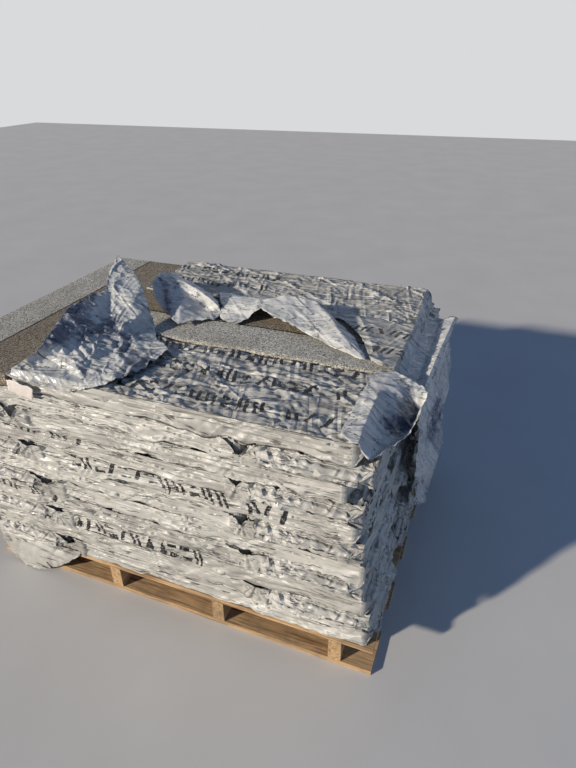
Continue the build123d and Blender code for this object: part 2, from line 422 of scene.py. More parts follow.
def film_material(name, printed=True, loose=False, light="BEBCB5", dark="96948F", rough=0.36):
    """Polyethylene wrap: flat glossy panels between sharp straight creases.

    It shows pale grey film with dust and black printing, painted shade in fine dark lines where
    it is folded in, and a painted highlight on its crease crests; its tops get painted blue-grey
    shade in patches. A loose sheet gets painted shade in dark blue streaks where its "thin" attribute says
    so.
    """
    material, tree = new_material(name)
    node = partial(add, tree)
    uv = node("UVMap", uv_map="wrap")
    place = node("TexCoord", output="Object")
    tint = node("Attribute", attribute_name="tint", output="Fac")
    cloud = node("TexNoise", {"Vector": place, "Scale": every(120), "Detail": 4.0, "Roughness": 0.6})
    shade = node("Math.MULTIPLY_ADD", [tint, 0.20, node("Math.MULTIPLY", [cloud, 0.80])])
    colour = node("ValToRGB", [shade], stops=[(0.26, dark), (0.56, light)])
    dust = patchy(tree, place, 45, 0.52, 0.80, 0.30, detail=5.0, roughness=0.7)
    coats = [(dust, "AB9C86")]
    if loose:
        height = crease_height(tree, uv, SHEET_CREASES)
        # Painted shade: where the "thin" attribute marks points, dark blue streaks stand in for the shade
        # seen through the film and the shade lying on it.
        streaks = node("VectorRotate", {"Vector": place, "Angle": 0.9}, rotation_type="X_AXIS")
        streaks = node("VectorMath.MULTIPLY", [streaks, (1.0, 0.25, 1.0)])
        streaks = {"Vector": streaks, "Scale": every(20), "Detail": 4.0, "Roughness": 0.6}
        thin = node("Attribute", attribute_name="thin", output="Fac")
        thin = node("Math.MULTIPLY_ADD", [node("TexNoise", streaks), -1.6, thin])
        thin = node("MapRange", {"Value": thin, "From Min": -0.25, "From Max": 0.25, "To Max": 0.9})
        coats.append((thin, "364866"))
        ridge_light_low, ridge_light_high, ridge_light_most = 0.0058, 0.0072, 0.8
    else:
        upward = node("SeparateXYZ", [node("NewGeometry", output="Normal")], output=2)
        upward = node("MapRange", {"Value": upward, "From Min": 0.45, "From Max": 0.75})
        folds_here = {0: upward, 2: crease_height(tree, uv, SIDE_CREASES)}
        folds_here[3] = crease_height(tree, uv, TOP_CREASES)
        height = node("Mix", folds_here, output=0, data_type="FLOAT")
        # Painted shade: blue-grey patches, on the upward faces only.
        painted_top_shade = node("VectorRotate", {"Vector": uv, "Angle": 0.5}, rotation_type="Z_AXIS")
        painted_top_shade = node("VectorMath.MULTIPLY", [painted_top_shade, (0.4, 1.0, 1.0)])
        painted_top_shade = patchy(tree, painted_top_shade, 38, 0.48, 0.58, 0.24, detail=5.0, roughness=0.65)
        coats.append((node("Math.MULTIPLY", [painted_top_shade, upward]), "5E6672"))
        ridge_light_low, ridge_light_high, ridge_light_most = 0.006, 0.010, 0.6
    # Painted highlight: a pale coat on the crests of the creases, with some of the whitening that folded
    # film gets.
    worn = {"Value": height, "From Min": ridge_light_low, "From Max": ridge_light_high, "To Max": ridge_light_most}
    coats.append((node("MapRange", worn), "E2E0DA"))
    # Painted shade: fine broken dark lines where the film is folded in; the same lines are pressed in as
    # grooves below.
    lines = node("VectorMath.MULTIPLY", [uv, (0.3 if loose else 0.06, 1.0, 1.0)])
    lines = node("TexNoise", {"Vector": lines, "Scale": every(24), "Detail": 4.0, "Distortion": 0.3})
    lines = node("Math.ABSOLUTE", [node("Math.SUBTRACT", [lines, 0.5])])
    painted_crease_shade = {"Value": lines, "From Min": 0.005, "From Max": 0.013, "To Min": 1.0, "To Max": 0.0}
    broken = patchy(tree, uv, 40, 0.42, 0.54, 0.90, detail=3.0)
    painted_crease_shade = node("Math.MULTIPLY", [node("MapRange", painted_crease_shade), broken])
    coats.append((painted_crease_shade, "4A4946"))
    if printed:
        swallowed = node("CombineXYZ", [0.0, node("Math.MULTIPLY", [height, 1.2]), 0.0])
        coats.append((print_mask(tree, node("VectorMath.ADD", [uv, swallowed])), "232428"))
    fine = node("TexNoise", {"Vector": uv, "Scale": every(14), "Detail": 4.0, "Roughness": 0.6})
    height = node("Math.MULTIPLY_ADD", [fine, 0.0006, height])
    height = node("Math.MULTIPLY_ADD", [painted_crease_shade, -0.0012, height])
    normal = node("Bump", {"Strength": 1.0, "Distance": 1.0, "Height": height})
    gloss = patchy(tree, place, 25, 0.3, 0.7, rough + 0.10, rough - 0.08)
    colour = coated(tree, colour, coats)
    close_material(tree, Base_Color=colour, Roughness=gloss, Normal=normal, Specular_IOR_Level=0.28)
    return material


def shingle_material(name):
    """Asphalt shingle faced with crushed stone: granules of grey and tan, no shine.

    v of its UV map is the distance from the sheet's exposed edge: pale granules up to the
    dark line of sealant, and browner ones beyond. Granules of 1.5 mm are drawn at 2.6 mm.
    """
    material, tree = new_material(name)
    node = partial(add, tree)
    uv = node("UVMap", uv_map="wrap")
    place = node("TexCoord", output="Object")
    pick = node("TexVoronoi", {"Vector": place, "Scale": every(2.6)}, output="Color")
    pick = node("SeparateXYZ", [pick])
    pale = [(0.0, "46433D"), (0.3, "9A968B"), (0.6, "C8C4B8"), (1.0, "F6F2E6")]
    brown = [(0.0, "332C24"), (0.4, "736858"), (0.7, "958979"), (1.0, "CBC0AC")]
    pale, brown = (node("ValToRGB", [pick], stops=stones) for stones in (pale, brown))
    waver = patchy(tree, place, 30, 0.0, 1.0, 0.003, -0.003, detail=2.0)
    across = node("Math.ADD", [node("SeparateXYZ", [uv], output=1), waver])
    inner = node("MapRange", {"Value": across, "From Min": 0.150, "From Max": 0.156})
    colour = node("Mix", {0: inner, 6: pale, 7: brown}, output=2, data_type="RGBA")
    drift = patchy(tree, place, 110, 0.4, 0.75, 0.4, detail=3.0, roughness=0.6)
    sealant = node("Math.COMPARE", [across, 0.153, 0.0035])
    colour = coated(tree, colour, [(drift, "8B8272"), (sealant, "1E1C1B")])
    height = node("TexVoronoi", {"Vector": place, "Scale": every(2.6)})
    normal = node("Bump", {"Strength": 0.7, "Distance": 0.0012, "Height": height})
    close_material(tree, Base_Color=colour, Roughness=0.92, Normal=normal, Specular_IOR_Level=0.3)
    return material


def wood_material(name, axis):
    """Rough-sawn pine: straight grain with dark late wood, saw marks, grey-brown weathering."""
    material, tree = new_material(name)
    node = partial(add, tree)
    place = node("TexCoord", output="Object")
    fine, wide = [1.0, 1.0, 1.0], [1.0, 1.0, 1.0]
    fine[axis], wide[axis] = 0.05, 0.35
    fine = node("VectorMath.MULTIPLY", [place, fine])
    grain = {"Vector": fine, "Scale": every(9), "Detail": 5.0, "Roughness": 0.6, "Distortion": 0.8}
    grain = node("TexNoise", grain)
    fibre = node("TexNoise", {"Vector": fine, "Scale": every(2.2), "Detail": 3.0, "Roughness": 0.7})
    rings = [(0.32, "78593A"), (0.46, "AB8B66"), (0.58, "CBAA80"), (0.74, "977853")]
    stain = patchy(tree, place, 95, 0.45, 0.75, 0.75, detail=5.0, roughness=0.65)
    pale = node("MapRange", {"Value": fibre, "From Min": 0.45, "From Max": 0.75, "To Max": 0.35})
    knot = node("VectorMath.MULTIPLY", [place, wide])
    knot = node("TexVoronoi", {"Vector": knot, "Scale": every(120)})
    knot = {"Value": knot, "From Min": 0.07, "From Max": 0.14, "To Min": 0.85, "To Max": 0.0}
    coats = [(stain, "6E5F4E"), (pale, "D6B98E"), (node("MapRange", knot), "3E2817")]
    colour = coated(tree, node("ValToRGB", [grain], stops=rings), coats)
    normal = node("Bump", {"Strength": 0.6, "Distance": 0.0015, "Height": fibre})
    normal = node("Bump", {"Strength": 0.5, "Distance": 0.002, "Height": grain, "Normal": normal})
    close_material(tree, Base_Color=colour, Roughness=0.82, Normal=normal, Specular_IOR_Level=0.3)
    return material


def paper_material(name):
    """Coated paper of a blank label: white, a little soiled, with faint fibres."""
    material, tree = new_material(name)
    node = partial(add, tree)
    place = node("TexCoord", output="Object")
    soil = node("TexNoise", {"Vector": place, "Scale": every(18), "Detail": 4.0, "Roughness": 0.6})
    colour = node("ValToRGB", [soil], stops=[(0.35, "D8CFC4"), (0.60, "E6DFD8")])
    fibre = node("TexNoise", {"Vector": place, "Scale": every(1.5), "Detail": 2.0})
    normal = node("Bump", {"Strength": 0.3, "Distance": 0.0005, "Height": fibre})
    close_material(tree, Base_Color=colour, Roughness=0.5, Normal=normal, Specular_IOR_Level=0.4)
    return material


wrap_film = film_material("polyethylene_wrap_printed")
torn = film_material("polyethylene_torn", False, True, light="D4D4D0", dark="A0A4A8", rough=0.24)
paper = paper_material("coated_label_paper")
bare_shingle = shingle_material("granule_faced_asphalt")
wood_x = wood_material("pine_boards", 0)
wood_y = wood_material("pine_stringers", 1)


# Wrapped bundles


def outline(width, height, radius, counts):
    """Closed section of a bundle: its points, outward normals and distance round it.

    counts are the numbers of points along the bottom, the +Y side, the top and the -Y side.
    """
    half = width / 2
    centres = [
        (half - radius, radius),
        (half - radius, height - radius),
        (radius - half, height - radius),
        (radius - half, radius),
    ]
    points = []
    normals = []
    for index, count in enumerate(counts):
        start = np.array(centres[index - 1])
        end = np.array(centres[index])
        angle = (index - 1) * math.pi / 2
        direction = np.array([math.cos(angle), math.sin(angle)])
        for part in np.linspace(0, 1, count):
            points.append(start * (1 - part) + end * part + direction * radius)
            normals.append(direction)
        for turn in (0.25, 0.5, 0.75):
            between = angle + turn * math.pi / 2
            direction = np.array([math.cos(between), math.sin(between)])
            points.append(end + direction * radius)
            normals.append(direction)
    points = np.array(points)
    lengths = np.linalg.norm(np.diff(points, axis=0, prepend=points[:1]), axis=1)
    return points, np.array(normals), np.cumsum(lengths)


def side_relief(along, around, seed):
    """Folds of the film on a bundle's side: long near-level creases, swags and fans."""
    draw = np.random.default_rng(seed + 9000)
    place = joined(along, around, seed * 3.7)
    height = noise(place, (0.36, 0.045, 1), seed) * 0.0060
    tilt = draw.uniform(-0.09, 0.09, 3)
    height += pleats(place, (tilt[0], 1, 0), 0.0150, seed + 1, 1.2, 0.60) * 0.0026
    height += pleats(place, (tilt[1], 1, 0), 0.0100, seed + 2, 1.4, 0.45) * 0.0012
    height += pleats(place, (tilt[2] * 4, 1, 0), 0.028, seed + 3, 1.1, 0.40) * 0.0036
    loose = smooth(0.0, 0.5, noise(place, (0.15, 0.12, 1), seed + 4))
    height += pleats(place, (0.8, 1, 0), 0.020, seed + 7, 1.4, 0.09) * 0.0028 * loose
    height += pleats(place, (-0.7, 1, 0), 0.015, seed + 8, 1.4, 0.08) * 0.0020 * loose
    for _ in range(3):
        # A swag: nested creases that hang between two points of the edge above
        centre = draw.uniform(0.05, BUNDLE_LENGTH - 0.05)
        middle = around.mean() + draw.uniform(-0.3, 0.3)
        ring = np.hypot((along - centre) * 0.35, around - middle)
        window = np.exp(-(((along - centre) / draw.uniform(0.05, 0.11)) ** 2))
        height += zigzag(ring / draw.uniform(0.008, 0.013)) * 0.0022 * window
    for end in (0.0, BUNDLE_LENGTH):
        # A fan: folds that run out from where the end of the film is gathered
        origin = around.mean() + draw.uniform(-0.02, 0.02)
        reach = np.hypot(along - end, (around - origin) * 1.5)
        turn = np.arctan2(around - origin, np.abs(along - end) + 0.004)
        wave = zigzag(turn * draw.uniform(2.2, 3.2) + noise(place, (0.06, 0.06, 1), seed + 9) * 0.5)
        height += wave * 0.0042 * np.exp(-(reach / 0.10)) * smooth(0, 0.012, reach)
    return height


# Pleats on a bundle's top, in rows of (direction, spacing, wander, reach, depth)
TOP_PLEATS = (
    ((0.10, 1, 0), 0.030, 1.8, 0.22, 0.0030),
    ((-0.25, 1, 0), 0.017, 1.8, 0.14, 0.0020),
    ((0.9, 1, 0), 0.034, 1.6, 0.12, 0.0026),
    ((-1, 0.7, 0), 0.027, 1.6, 0.10, 0.0023),
    ((1, 0.15, 0), 0.045, 1.6, 0.14, 0.0016),
)


def top_relief(along, around, seed):
    """Folds of the film over a bundle's top: long creases, and crumples in all directions."""
    place = joined(along, around, seed * 5.1)
    height = noise(place, (0.22, 0.12, 1), seed + 33) * 0.0035
    for number, (direction, spacing, wander, reach, depth) in enumerate(TOP_PLEATS, seed + 34):
        height += pleats(place, direction, spacing, number, wander, reach) * depth
    height += folds(place, (0.020, 0.014, 1), seed + 39, 2.0) * 0.0006
    return height


def top_creases(along, across):
    """Depth of the shallow creases that the solid has across the top of the load."""
    pitch = BUNDLE_LENGTH / CREASE_COUNT
    depth = np.zeros_like(along)
    for number in range(CREASE_COUNT):
        lean = CREASE_LEAN if number % 2 else -CREASE_LEAN
        away = np.abs(along - (number + 0.5) * pitch - lean * across)
        depth = np.maximum(depth, CREASE_DEPTH * (1 - away * 2 / pitch))
    return depth


def wrap_surface(width, height, seed, sides, top_row=None, gathers=()):
    """A function that lays the film's section round the bundle at each distance along it.

    sides say whether the side at -Y and the one at +Y show. top_row is the place across the
    load of a bundle whose top shows, and gathers are places (x, y) that its film is pulled into.
    """

    def surface(s, section, outward, around, k):
        y, z = section[k].T
        facing = outward[k]
        relief = side_relief(s, around[k], seed) - SIDE_SINK
        if top_row is not None:
            up = smooth(0.3, 0.9, facing[:, 1])
            above = top_relief(s, y, seed) - TOP_SINK - top_creases(s, y + top_row)
            relief = relief * (1 - up) + above * up
            for x_knot, y_knot in gathers:
                reach = np.hypot(s - x_knot, y - y_knot)
                turn = np.arctan2(y - y_knot, s - x_knot)
                rays = joined(turn * 0.05, reach * 0.1, 0)
                fan = folds(rays, (0.016, 0.05, 1), seed + 41, 2.0) * 0.006
                relief += up * fan * np.exp(-reach / 0.12) * smooth(0, 0.03, reach)
        edge = np.clip(np.minimum(s, BUNDLE_LENGTH - s) / END_REACH, 0, 1)
        relief = relief - END_ROUNDING * (1 - np.sqrt(1 - (1 - edge) ** 2))
        y = y + facing[:, 0] * relief
        z = z + facing[:, 1] * relief
        for side, shown in zip((-1, 1), sides):
            if not shown:
                continue
            # The slack film hangs out over the layer below, further in some places than in others
            low = smooth(0.55, 0.05, section[k, 1] / height)
            low = low * smooth(0.80, 0.97, side * section[k, 0] * 2 / width)
            place = joined(s, side * 2.0, seed * 1.7)
            slack = 0.35 + noise(place, (0.13, 1, 1), seed + 21) * 0.9
            slack = np.clip(slack + noise(place, (0.035, 1, 1), seed + 22) * 0.35, 0, 1.2)
            z = z - low * slack * SLACK_DROP
            y = y + side * low * slack * SLACK_REACH
        return joined(s, y, z)

    return surface


def sleeve(surface, width, height, sides, top, print_at, step):
    """The film round a bundle that runs along +X from 0, without its two ends."""
    points_round = int(0.150 / step)
    counts = [6, points_round if sides[1] else 3, 80 if top else 6, points_round if sides[0] else 3]
    section, outward, around = outline(width, height, SLEEVE_RADIUS, counts)
    rows = int(BUNDLE_LENGTH / step) + 1 if top or any(sides) else 21
    span = np.linspace(END_REACH, BUNDLE_LENGTH - END_REACH, rows)
    s, k = crossings(span, np.arange(len(section)))
    points = surface(s, section, outward, around, k)
    unprinted = UNPRINTED * (np.abs(outward[k, 0]) > 0.8) if top else 0.0
    uvs = joined(s - print_at[0] + unprinted, around[k] - print_at[1])
    return points, grid_faces(rows, len(section), closed=True), uvs, random.uniform()


def end_cap(surface, width, height, seed, at_end, shown, step):
    """The gathered end of the film: it closes from all round to a seam, which stands out."""
    wide = int(0.33 / step)
    counts = (wide, 14, wide, 14) if shown else (6, 3, 6, 3)
    section, outward, around = outline(width, height, SLEEVE_RADIUS, counts)
    lines = 16 if shown else 5
    t, k = crossings(np.linspace(0, 1, lines), np.arange(len(section)))
    inward = END_REACH * (1 - np.clip(t / 0.3, 0, 1))
    start = surface(BUNDLE_LENGTH - inward if at_end else inward, section, outward, around, k)
    y, z = start[:, 1:].T
    place = joined(section[k, 0], at_end * 3.0, seed * 2.3)
    closing = smooth(0.30, 0.88, t)
    out = smooth(0.86, 1.0, t)
    corner = smooth(width / 2 - 0.075, width / 2 - 0.005, np.abs(section[k, 0]))
    seam_z = height * 0.5 + noise(place, (0.12, 1, 1), seed + 51) * height * 0.14
    seam_z += folds(place, (0.020, 1, 1), seed + 57, 2.0) * 0.003 * out - 0.008 * out
    seam_y = np.clip(section[k, 0], GATHER_INSET - width / 2, width / 2 - GATHER_INSET)
    skew = place.copy()
    skew[:, 0] += closing * noise(place, (0.08, 1, 1), seed + 52) * 0.02
    wrinkle = folds(skew, (0.030, 1, 1), seed + 53, 2.6) * 0.0038
    wrinkle += folds(skew, (0.013, 1, 1), seed + 54, 2.0) * 0.0015
    crumple = joined(y, z + t * 0.03, seed * 1.3 + at_end)
    wrinkle += folds(crumple, (0.040, 0.020, 1), seed + 55, 2.2) * 0.0022
    fin = 0.004 + 0.012 * smooth(-0.2, 0.8, noise(place, (0.07, 1, 1), seed + 56)) + corner * 0.006
    x = GATHER_REACH * smooth(0.30, 0.80, t) * (1 - corner * 0.3) + fin * out
    x += wrinkle * smooth(0.3, 0.5, t) * (1 - 0.4 * closing)
    x = np.minimum(x, SHOWN_END_LIMIT if shown else HIDDEN_END_LIMIT)
    y = y * (1 - closing) + seam_y * closing
    z = z * (1 - closing) + seam_z * closing + np.sign(section[k, 1] - height / 2) * 0.0004 * out
    x = start[:, 0] + x if at_end else start[:, 0] - x
    points = joined(x, y, z)
    uvs = joined(section[k, 0] + 2.0, t * 0.08 + 3.0)
    faces = grid_faces(lines, len(section), closed=True)
    if not at_end:
        faces = faces[:, ::-1]
    return points, faces, uvs, random.uniform()


def bundle(height, seed, sides, ends, print_at, step=FRONT_STEP, top_row=None, gathers=()):
    """Skin of one wrapped bundle along +X: its sleeve and its two gathered ends."""
    surface = wrap_surface(BUNDLE_WIDTH, height, seed, sides, top_row, gathers)
    parts = [sleeve(surface, BUNDLE_WIDTH, height, sides, top_row is not None, print_at, step)]
    parts.append(end_cap(surface, BUNDLE_WIDTH, height, seed + 60, 0, ends[0], step))
    parts.append(end_cap(surface, BUNDLE_WIDTH, height, seed + 70, 1, ends[1], step))
    return parts


def placed(parts, place, turn=0):
    """Parts moved to their place, after this many quarter turns about Z: -1, 0 or 1."""
    moved = []
    for points, faces, uvs, tint in parts:
        x, y, z = points.T
        if turn:
            x, y = -turn * y, turn * x
        moved.append((joined(place[0] + x, place[1] + y, place[2] + z), faces, uvs, tint))
    return moved


def joint_flap(joint, face, floor, height, seed, side, dip):
    """Loose film bridging the joint of two bundles on the front (side -1) or the back.

    Its upper edge dips at the joint by this share of the height, which leaves a dark pocket.
    """
    columns, lines = 37, 17
    u, v = crossings(np.linspace(-1, 1, columns), np.linspace(0, 1, lines))
    draw = np.random.default_rng(seed)
    reach = draw.uniform(0.045, 0.085)
    narrow = draw.uniform(0.12, 0.30)
    lean = draw.uniform(-0.35, 0.35)
    top = FLAP_TOP - dip * np.exp(-(((u - lean * 0.3) / narrow) ** 2))
    z = height * (-FLAP_DROP + (top + FLAP_DROP) * v)
    x = u * reach + lean * 0.02 * (1 - v)
    place = joined(x, z, seed * 1.9)
    turn = np.arctan2(z - height * (FLAP_TOP - dip), x)
    rays = joined(turn * 0.05, np.hypot(x, z) * 0.2, 0)
    relief = folds(rays, (0.022, 0.06, 1), seed + 1, 2.2) * 0.0040
    relief += folds(place, (0.060, 0.030, 1), seed + 2, 2.0) * 0.0014
    sunk = smooth(0.72, 1.0, np.abs(u)) * 0.014
    out = 0.0035 + relief * (1 - smooth(0.8, 1, np.abs(u))) - sunk
    lip = smooth(0.82, 1.0, v) * np.exp(-((u / 0.5) ** 2)) * 0.006
    y = face + side * (out + lip)
    points = joined(joint + x, y, floor + z)
    faces = grid_faces(columns, lines)
    if side > 0:
        faces = faces[:, ::-1]
    uvs = joined(x + 5.0, z + 5.0)
    return points, faces, uvs, draw.uniform()


low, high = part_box("layer_01")
row_reach = (high[1] - low[1]) / 2 - GATHER_REACH
LOAD_FRONT = -(row_reach + ROW_OVERREACH / 2)
LOAD_BACK = -LOAD_FRONT
ROW_PLACES = (LOAD_FRONT + BUNDLE_WIDTH / 2, 0.0, LOAD_BACK - BUNDLE_WIDTH / 2)


# How far the film dips at the front and the back joint of each layer, from the lowest up
FRONT_DIPS = (0.30, 0.02, 0.05, 0.10, 0.32, 0.36, 0.08, 0.24, 0.55, 0.60)
BACK_DIPS = (0.1, 0.3, 0.5, 0.1, 0.2, 0.4, 0.1, 0.5, 0.2, 0.4)


def print_place(draw):
    """Where a bundle's rows of print start: on every third bundle they are on a hidden side."""
    hidden = draw.uniform() < HIDDEN_PRINT_SHARE
    return (UNPRINTED if hidden else draw.uniform(0.0, 0.5), draw.uniform(0.0, PRINT_ROW_PITCH))


for number in range(1, FULL_LAYERS + 1):
    node = f"layer_{number:02d}"
    low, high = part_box(node)
    height = high[2] - low[2]
    at_left = number % 2 == 1
    if at_left:
        left = low[0]
        right = high[0] - GATHER_REACH
        cross_middle = left + BUNDLE_WIDTH / 2
        row_start = left + BUNDLE_WIDTH + END_GAP
        joint = row_start - END_GAP / 2
    else:
        left = low[0] + GATHER_REACH
        right = high[0]
        cross_middle = right - BUNDLE_WIDTH / 2
        row_start = left
        joint = right - BUNDLE_WIDTH - END_GAP / 2
    skins = []
    for row, place in enumerate(ROW_PLACES):
        sides = (row == 0, row == 2)
        ends = (not at_left, at_left)
        step = FRONT_STEP if row == 0 else BACK_STEP
        skin = bundle(height, number * 10 + row, sides, ends, print_place(random), step)
        skins += placed(skin, (row_start, place, low[2]))
    sides = (not at_left, at_left)
    step = LEFT_STEP if at_left else RIGHT_STEP
    skin = bundle(height, number * 10 + 4, sides, (True, True), print_place(random), step)
    skins += placed(skin, (cross_middle, -BUNDLE_LENGTH / 2, low[2]), turn=1)
    for side, face, dips in ((-1, LOAD_FRONT, FRONT_DIPS), (1, LOAD_BACK, BACK_DIPS)):
        seed = number * 10 + (5 if side < 0 else 6)
        skins.append(joint_flap(joint, face, low[2], height, seed, side, dips[number - 1]))
    piece = make_piece(f"wrapped_{node}", skins, wrap_film)
    attach(piece, node)

low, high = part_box("layer_11_wrapped")
height = high[2] - low[2]
TOP_START = low[0]
TOP_FLOOR = low[2]
LOAD_TOP = high[2]
both_ends = (True, True)
front, _, back = ROW_PLACES
knot = (0.99, 0.175)
skin = bundle(height, 201, (True, False), both_ends, (0.58, 0.0206), FRONT_STEP, front, [knot])
skins = placed(skin, (TOP_START, front, TOP_FLOOR))
skin = bundle(height, 202, (False, True), both_ends, (0.10, 0.44), RIGHT_STEP, back)
skins += placed(skin, (TOP_START, back, TOP_FLOOR))
piece = make_piece("wrapped_layer_11", skins, wrap_film)
attach(piece, "layer_11_wrapped")


# Bare bundles: loose sheets, made by Geometry Nodes, under one finely modelled top sheet


def sheet_stack_tree():
    """Geometry node tree: a pile of thin sheets, each slightly out of line with the others."""
    tree = bpy.data.node_groups.new("sheet_stack", "GeometryNodeTree")
    kinds = {"Geometry": "Geometry", "Sheets": "Int", "Base": "Vector", "Material": "Material"}
    for name in ("Geometry", "Length", "Width", "Thickness", "Slip", "Sheets", "Base", "Material"):
        kind = "NodeSocket" + kinds.get(name, "Float")
        tree.interface.new_socket(name, in_out="INPUT", socket_type=kind)
    tree.interface.new_socket("Geometry", in_out="OUTPUT", socket_type="NodeSocketGeometry")
    node = partial(add, tree)
    given = tree.nodes.new("NodeGroupInput").outputs
    line = {"Count": given["Sheets"], "Start Location": given["Base"]}
    line["Offset"] = node("CombineXYZ", {2: given["Thickness"]})
    line = node("GeometryNodeMeshLine", line, mode="OFFSET")
    thin = node("Math.MULTIPLY", [given["Thickness"], SHEET_SHARE])
    size = node("CombineXYZ", [given["Length"], given["Width"], thin])
    sheet = node("GeometryNodeMeshCube", {"Size": size})
    far = node("CombineXYZ", [given["Slip"], given["Slip"]])
    near = node("VectorMath.SCALE", {0: far, "Scale": -1.0})
    slip = {0: near, 1: far, "Seed": 7}
    slip = node("FunctionNodeRandomValue", slip, data_type="FLOAT_VECTOR")
    moved = node("GeometryNodeSetPosition", {"Geometry": line, "Offset": slip})
    turn = {0: (0, 0, -0.006), 1: (0, 0, 0.006), "Seed": 3}
    turn = node("FunctionNodeRandomValue", turn, data_type="FLOAT_VECTOR")
    pile = {"Points": moved, "Instance": sheet, "Rotation": turn}
    pile = node("GeometryNodeRealizeInstances", [node("GeometryNodeInstanceOnPoints", pile)])
    pile = {"Geometry": pile, "Material": given["Material"]}
    pile = node("GeometryNodeSetMaterial", pile)
    tree.links.new(pile, tree.nodes.new("NodeGroupOutput").inputs[0])
    return tree


def run_tree(tree, name, values):
    """The plain mesh that a geometry node tree makes with these inputs."""
    carrier = put_in_scene(name, bpy.data.meshes.new(name))
    modifier = carrier.modifiers.new("tree", "NODES")
    modifier.node_group = tree
    for item in tree.interface.items_tree:
        if item.in_out == "INPUT" and item.name in values:
            modifier[item.identifier] = values[item.name]
    return evaluated_mesh(carrier, name)


def bare_bundle(name, node, along_y, sheets, seed):
    """A bare stack: its loose sheets and its top sheet, whose surface is a little wavy."""
    low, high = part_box(node)
    length, width = high[0] - low[0], high[1] - low[1]
    if along_y:
        length, width = width, length
    thickness = (high[2] - low[2]) / (sheets + 1)
    values = {
        "Length": length,
        "Width": width,
        "Thickness": thickness,
        "Slip": SHEET_SLIP,
        "Sheets": sheets,
        "Base": (0, 0, low[2] + thickness / 2),
        "Material": bare_shingle,
    }
    mesh = run_tree(sheet_stack_tree(), name, values)
    points = read_values(mesh.vertices, "co", 3)
    faces = read_values(mesh.loops, "vertex_index", kind=np.int32).reshape(-1, 4)
    uvs = joined(points[:, 0] + length / 2, points[:, 1] + width / 2)
    parts = [(points, faces, uvs, 0.5)]
    columns, lines = 121, 41
    s, t = crossings(np.linspace(0, length, columns), np.linspace(0, width, lines))
    place = joined(s, t, seed)
    edge = np.minimum(np.minimum(s, length - s), np.minimum(t, width - t))
    wave = noise(place, (0.25, 0.12, 1), seed) * 0.0011
    wave = wave + noise(place, (0.012, 0.012, 1), seed + 1) * 0.00025
    curl = np.clip(noise(place, (0.16, 0.5, 1), seed + 2), 0, 1)
    lift = smooth(0.0, 0.05, 0.05 - edge) * curl * 0.0012
    z = high[2] - thickness * 0.15 + wave + lift - 0.0012
    z = np.where(edge <= 0, z - thickness * 0.8, z)
    inward = np.where(edge <= 0, 0.0, 1.0)
    jag = noise(place, (0.02, 0.02, 1), seed + 3) * 0.0008
    sheet = joined(s - length / 2 + jag * inward, t - width / 2 + jag, z)
    parts.append((sheet, grid_faces(columns, lines), joined(s, t), 0.5))
    middle = ((low[0] + high[0]) / 2, (low[1] + high[1]) / 2, 0)
    piece = make_piece(name, placed(parts, middle, -1 if along_y else 0), bare_shingle)
    piece.data.polygons.foreach_set("use_smooth", np.zeros(len(piece.data.polygons), dtype=bool))
    attach(piece, node)


bare_bundle("loose_shingles_middle", "open_bundle_middle", False, 22, 301)
bare_bundle("loose_shingles_left", "open_bundle_left", True, 14, 302)


# Torn film


def edge_uses(mesh):
    """How many faces meet at each edge of a mesh."""
    uses = {}
    for polygon in mesh.polygons:
        for key in polygon.edge_keys:
            uses[key] = uses.get(key, 0) + 1
    return uses


def names_in(text):
    """The groups of point names that commas part."""
    return [group.split() for group in text.split(",")]


def film_net(name, points, faces, chains, thin):
    """The coarse net of a sheet, creased along its rim and its folds."""
    order = {key: index for index, key in enumerate(points)}
    places = [[value / 1000 for value in place] for place in points.values()]
    net = bpy.data.meshes.new(name)
    net.from_pydata(places, [], [[order[key] for key in reversed(face)] for face in faces])
    folded = {frozenset((order[a], order[b])) for chain in chains for a, b in zip(chain, chain[1:])}
    uses = edge_uses(net)
    crease = net.attributes.new("crease_edge", "FLOAT", "EDGE")
    for edge in net.edges:
        outer = uses[edge.key] == 1
        crease.data[edge.index].value = 1.0 if outer or frozenset(edge.vertices) in folded else SOFT_CREASE
    # Painted shade: the points in thin get a mark that the material paints dark blue.
    painted_shade_marks = net.attributes.new("thin", "FLOAT", "POINT")
    painted_shade_marks.data.foreach_set("value", [1.0 if key in thin else 0.0 for key in points])
    return net


def film_relief(place, seed, shade_weight):
    """Height of a sheet's crumples: soft waves, sharp ridges, and three sizes of pleats."""
    relief = noise(place, 0.13, seed + 3) * 0.004
    relief += ridges(place, 0.13, seed + 4, 9) * 0.0045
    # The points marked for painted shade crumple more.
    relief += ridges(place, 0.060, seed + 5, 8) * (0.0014 + shade_weight * 0.0030)
    draw = np.random.default_rng(seed)
    for spacing, depth in ((0.060, 0.0016), (0.032, 0.0010), (0.017, 0.0005)):
        direction = draw.normal(size=3) * (1, 1, 0.6)
        fold = pleats(place, direction, spacing, int(spacing * 1e5) + seed, 1.3, 0.12)
        relief += fold * depth * (1 + shade_weight * 1.6)
    return relief


